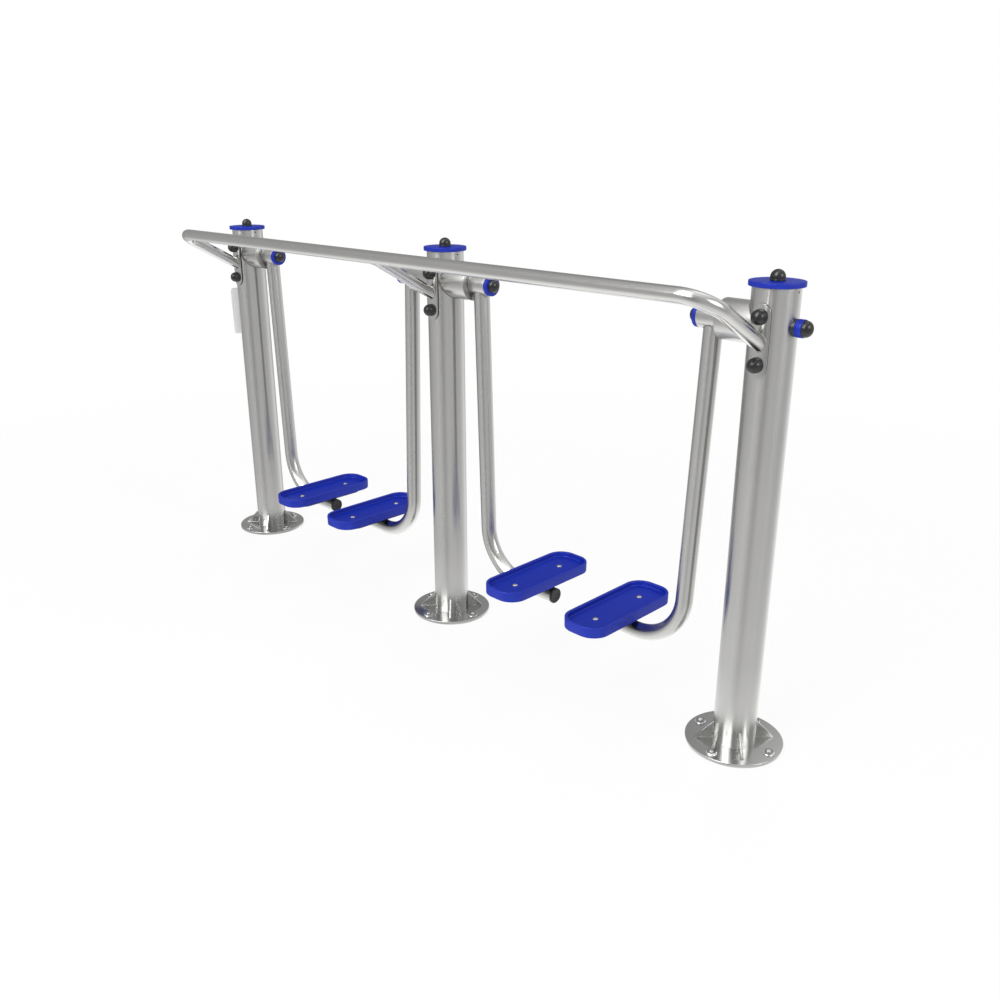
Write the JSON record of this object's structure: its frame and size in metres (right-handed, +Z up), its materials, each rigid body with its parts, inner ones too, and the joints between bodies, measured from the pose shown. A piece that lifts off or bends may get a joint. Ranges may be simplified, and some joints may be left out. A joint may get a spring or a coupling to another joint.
{
  "type": "outdoor air walker",
  "caption": "Outdoor air walker: posts on round base flanges carry free swinging legs with foot trays, and a bent handrail runs along the front.",
  "frame": {"origin": "centre of the underside of the middle base flange, on the ground", "axes": "+X along the row of posts towards the post that stands nearest in the picture, -Y towards the handrail, +Z up"},
  "size_m": [2.5534, 0.4857, 1.265],
  "materials": {
    "tube_steel": "satin polished stainless tube",
    "base_steel": "bright polished stainless plate",
    "axle_steel": "turned bright bar",
    "blue_plastic": "moulded, through-coloured, satin",
    "black_plastic": "moulded, satin",
    "seal_rubber": "moulded rubber"
  },
  "bodies": {
    "frame": {"base_flange_left": "base_steel", "post_left": "tube_steel", "post_cap_left": "blue_plastic", "cap_dome_left": "black_plastic", "saddle_plate_left": "tube_steel", "plate_dome_upper_left": "black_plastic", "plate_dome_lower_left": "black_plastic", "base_flange_centre": "base_steel", "post_centre": "tube_steel", "post_cap_centre": "blue_plastic", "cap_dome_centre": "black_plastic", "saddle_plate_centre": "tube_steel", "plate_dome_upper_centre": "black_plastic", "plate_dome_lower_centre": "black_plastic", "base_flange_right": "base_steel", "post_right": "tube_steel", "post_cap_right": "blue_plastic", "cap_dome_right": "black_plastic", "saddle_plate_right": "tube_steel", "plate_dome_upper_right": "black_plastic", "plate_dome_lower_right": "black_plastic", "handrail": "tube_steel", "handrail_strut": "tube_steel", "axle_centre": "axle_steel", "axle_left": "axle_steel", "axle_washer_left": "black_plastic", "axle_collar_left": "blue_plastic", "axle_dome_left": "black_plastic", "axle_right": "axle_steel", "axle_washer_right": "black_plastic", "axle_collar_right": "blue_plastic", "axle_dome_right": "black_plastic", "bearing_housing_left_outer": "tube_steel", "bearing_seal_left_outer": "seal_rubber", "bearing_housing_left_inner": "tube_steel", "bearing_seal_left_inner": "seal_rubber", "bearing_housing_right_inner": "tube_steel", "bearing_seal_right_inner": "seal_rubber", "bearing_housing_right_outer": "tube_steel", "bearing_seal_right_outer": "seal_rubber"},
    "arm_left_outer": {"swing_arm_left_outer": "tube_steel", "hub_cap_left_outer": "blue_plastic", "hub_dome_left_outer": "black_plastic", "arm_plug_left_outer": "black_plastic", "pedal_left_outer": "blue_plastic"},
    "arm_left_inner": {"swing_arm_left_inner": "tube_steel", "hub_cap_left_inner": "blue_plastic", "hub_dome_left_inner": "black_plastic", "arm_plug_left_inner": "black_plastic", "pedal_left_inner": "blue_plastic"},
    "arm_right_inner": {"swing_arm_right_inner": "tube_steel", "hub_cap_right_inner": "blue_plastic", "hub_dome_right_inner": "black_plastic", "arm_plug_right_inner": "black_plastic", "pedal_right_inner": "blue_plastic"},
    "arm_right_outer": {"swing_arm_right_outer": "tube_steel", "hub_cap_right_outer": "blue_plastic", "hub_dome_right_outer": "black_plastic", "arm_plug_right_outer": "black_plastic", "pedal_right_outer": "blue_plastic"}
  },
  "joints": [
    {"name": "swing_left_outer", "type": "hinge", "parent": "frame", "child": "arm_left_outer", "pos_m": [-1.145, 0, 1.1365], "axis": [1, 0, 0], "range_deg": [-40, 40]},
    {"name": "swing_left_inner", "type": "hinge", "parent": "frame", "child": "arm_left_inner", "pos_m": [0, 0, 1.1365], "axis": [1, 0, 0], "range_deg": [-40, 40]},
    {"name": "swing_right_inner", "type": "hinge", "parent": "frame", "child": "arm_right_inner", "pos_m": [0, 0, 1.1365], "axis": [1, 0, 0], "range_deg": [-40, 40]},
    {"name": "swing_right_outer", "type": "hinge", "parent": "frame", "child": "arm_right_outer", "pos_m": [1.145, 0, 1.1365], "axis": [1, 0, 0], "range_deg": [-40, 40]}
  ]
}
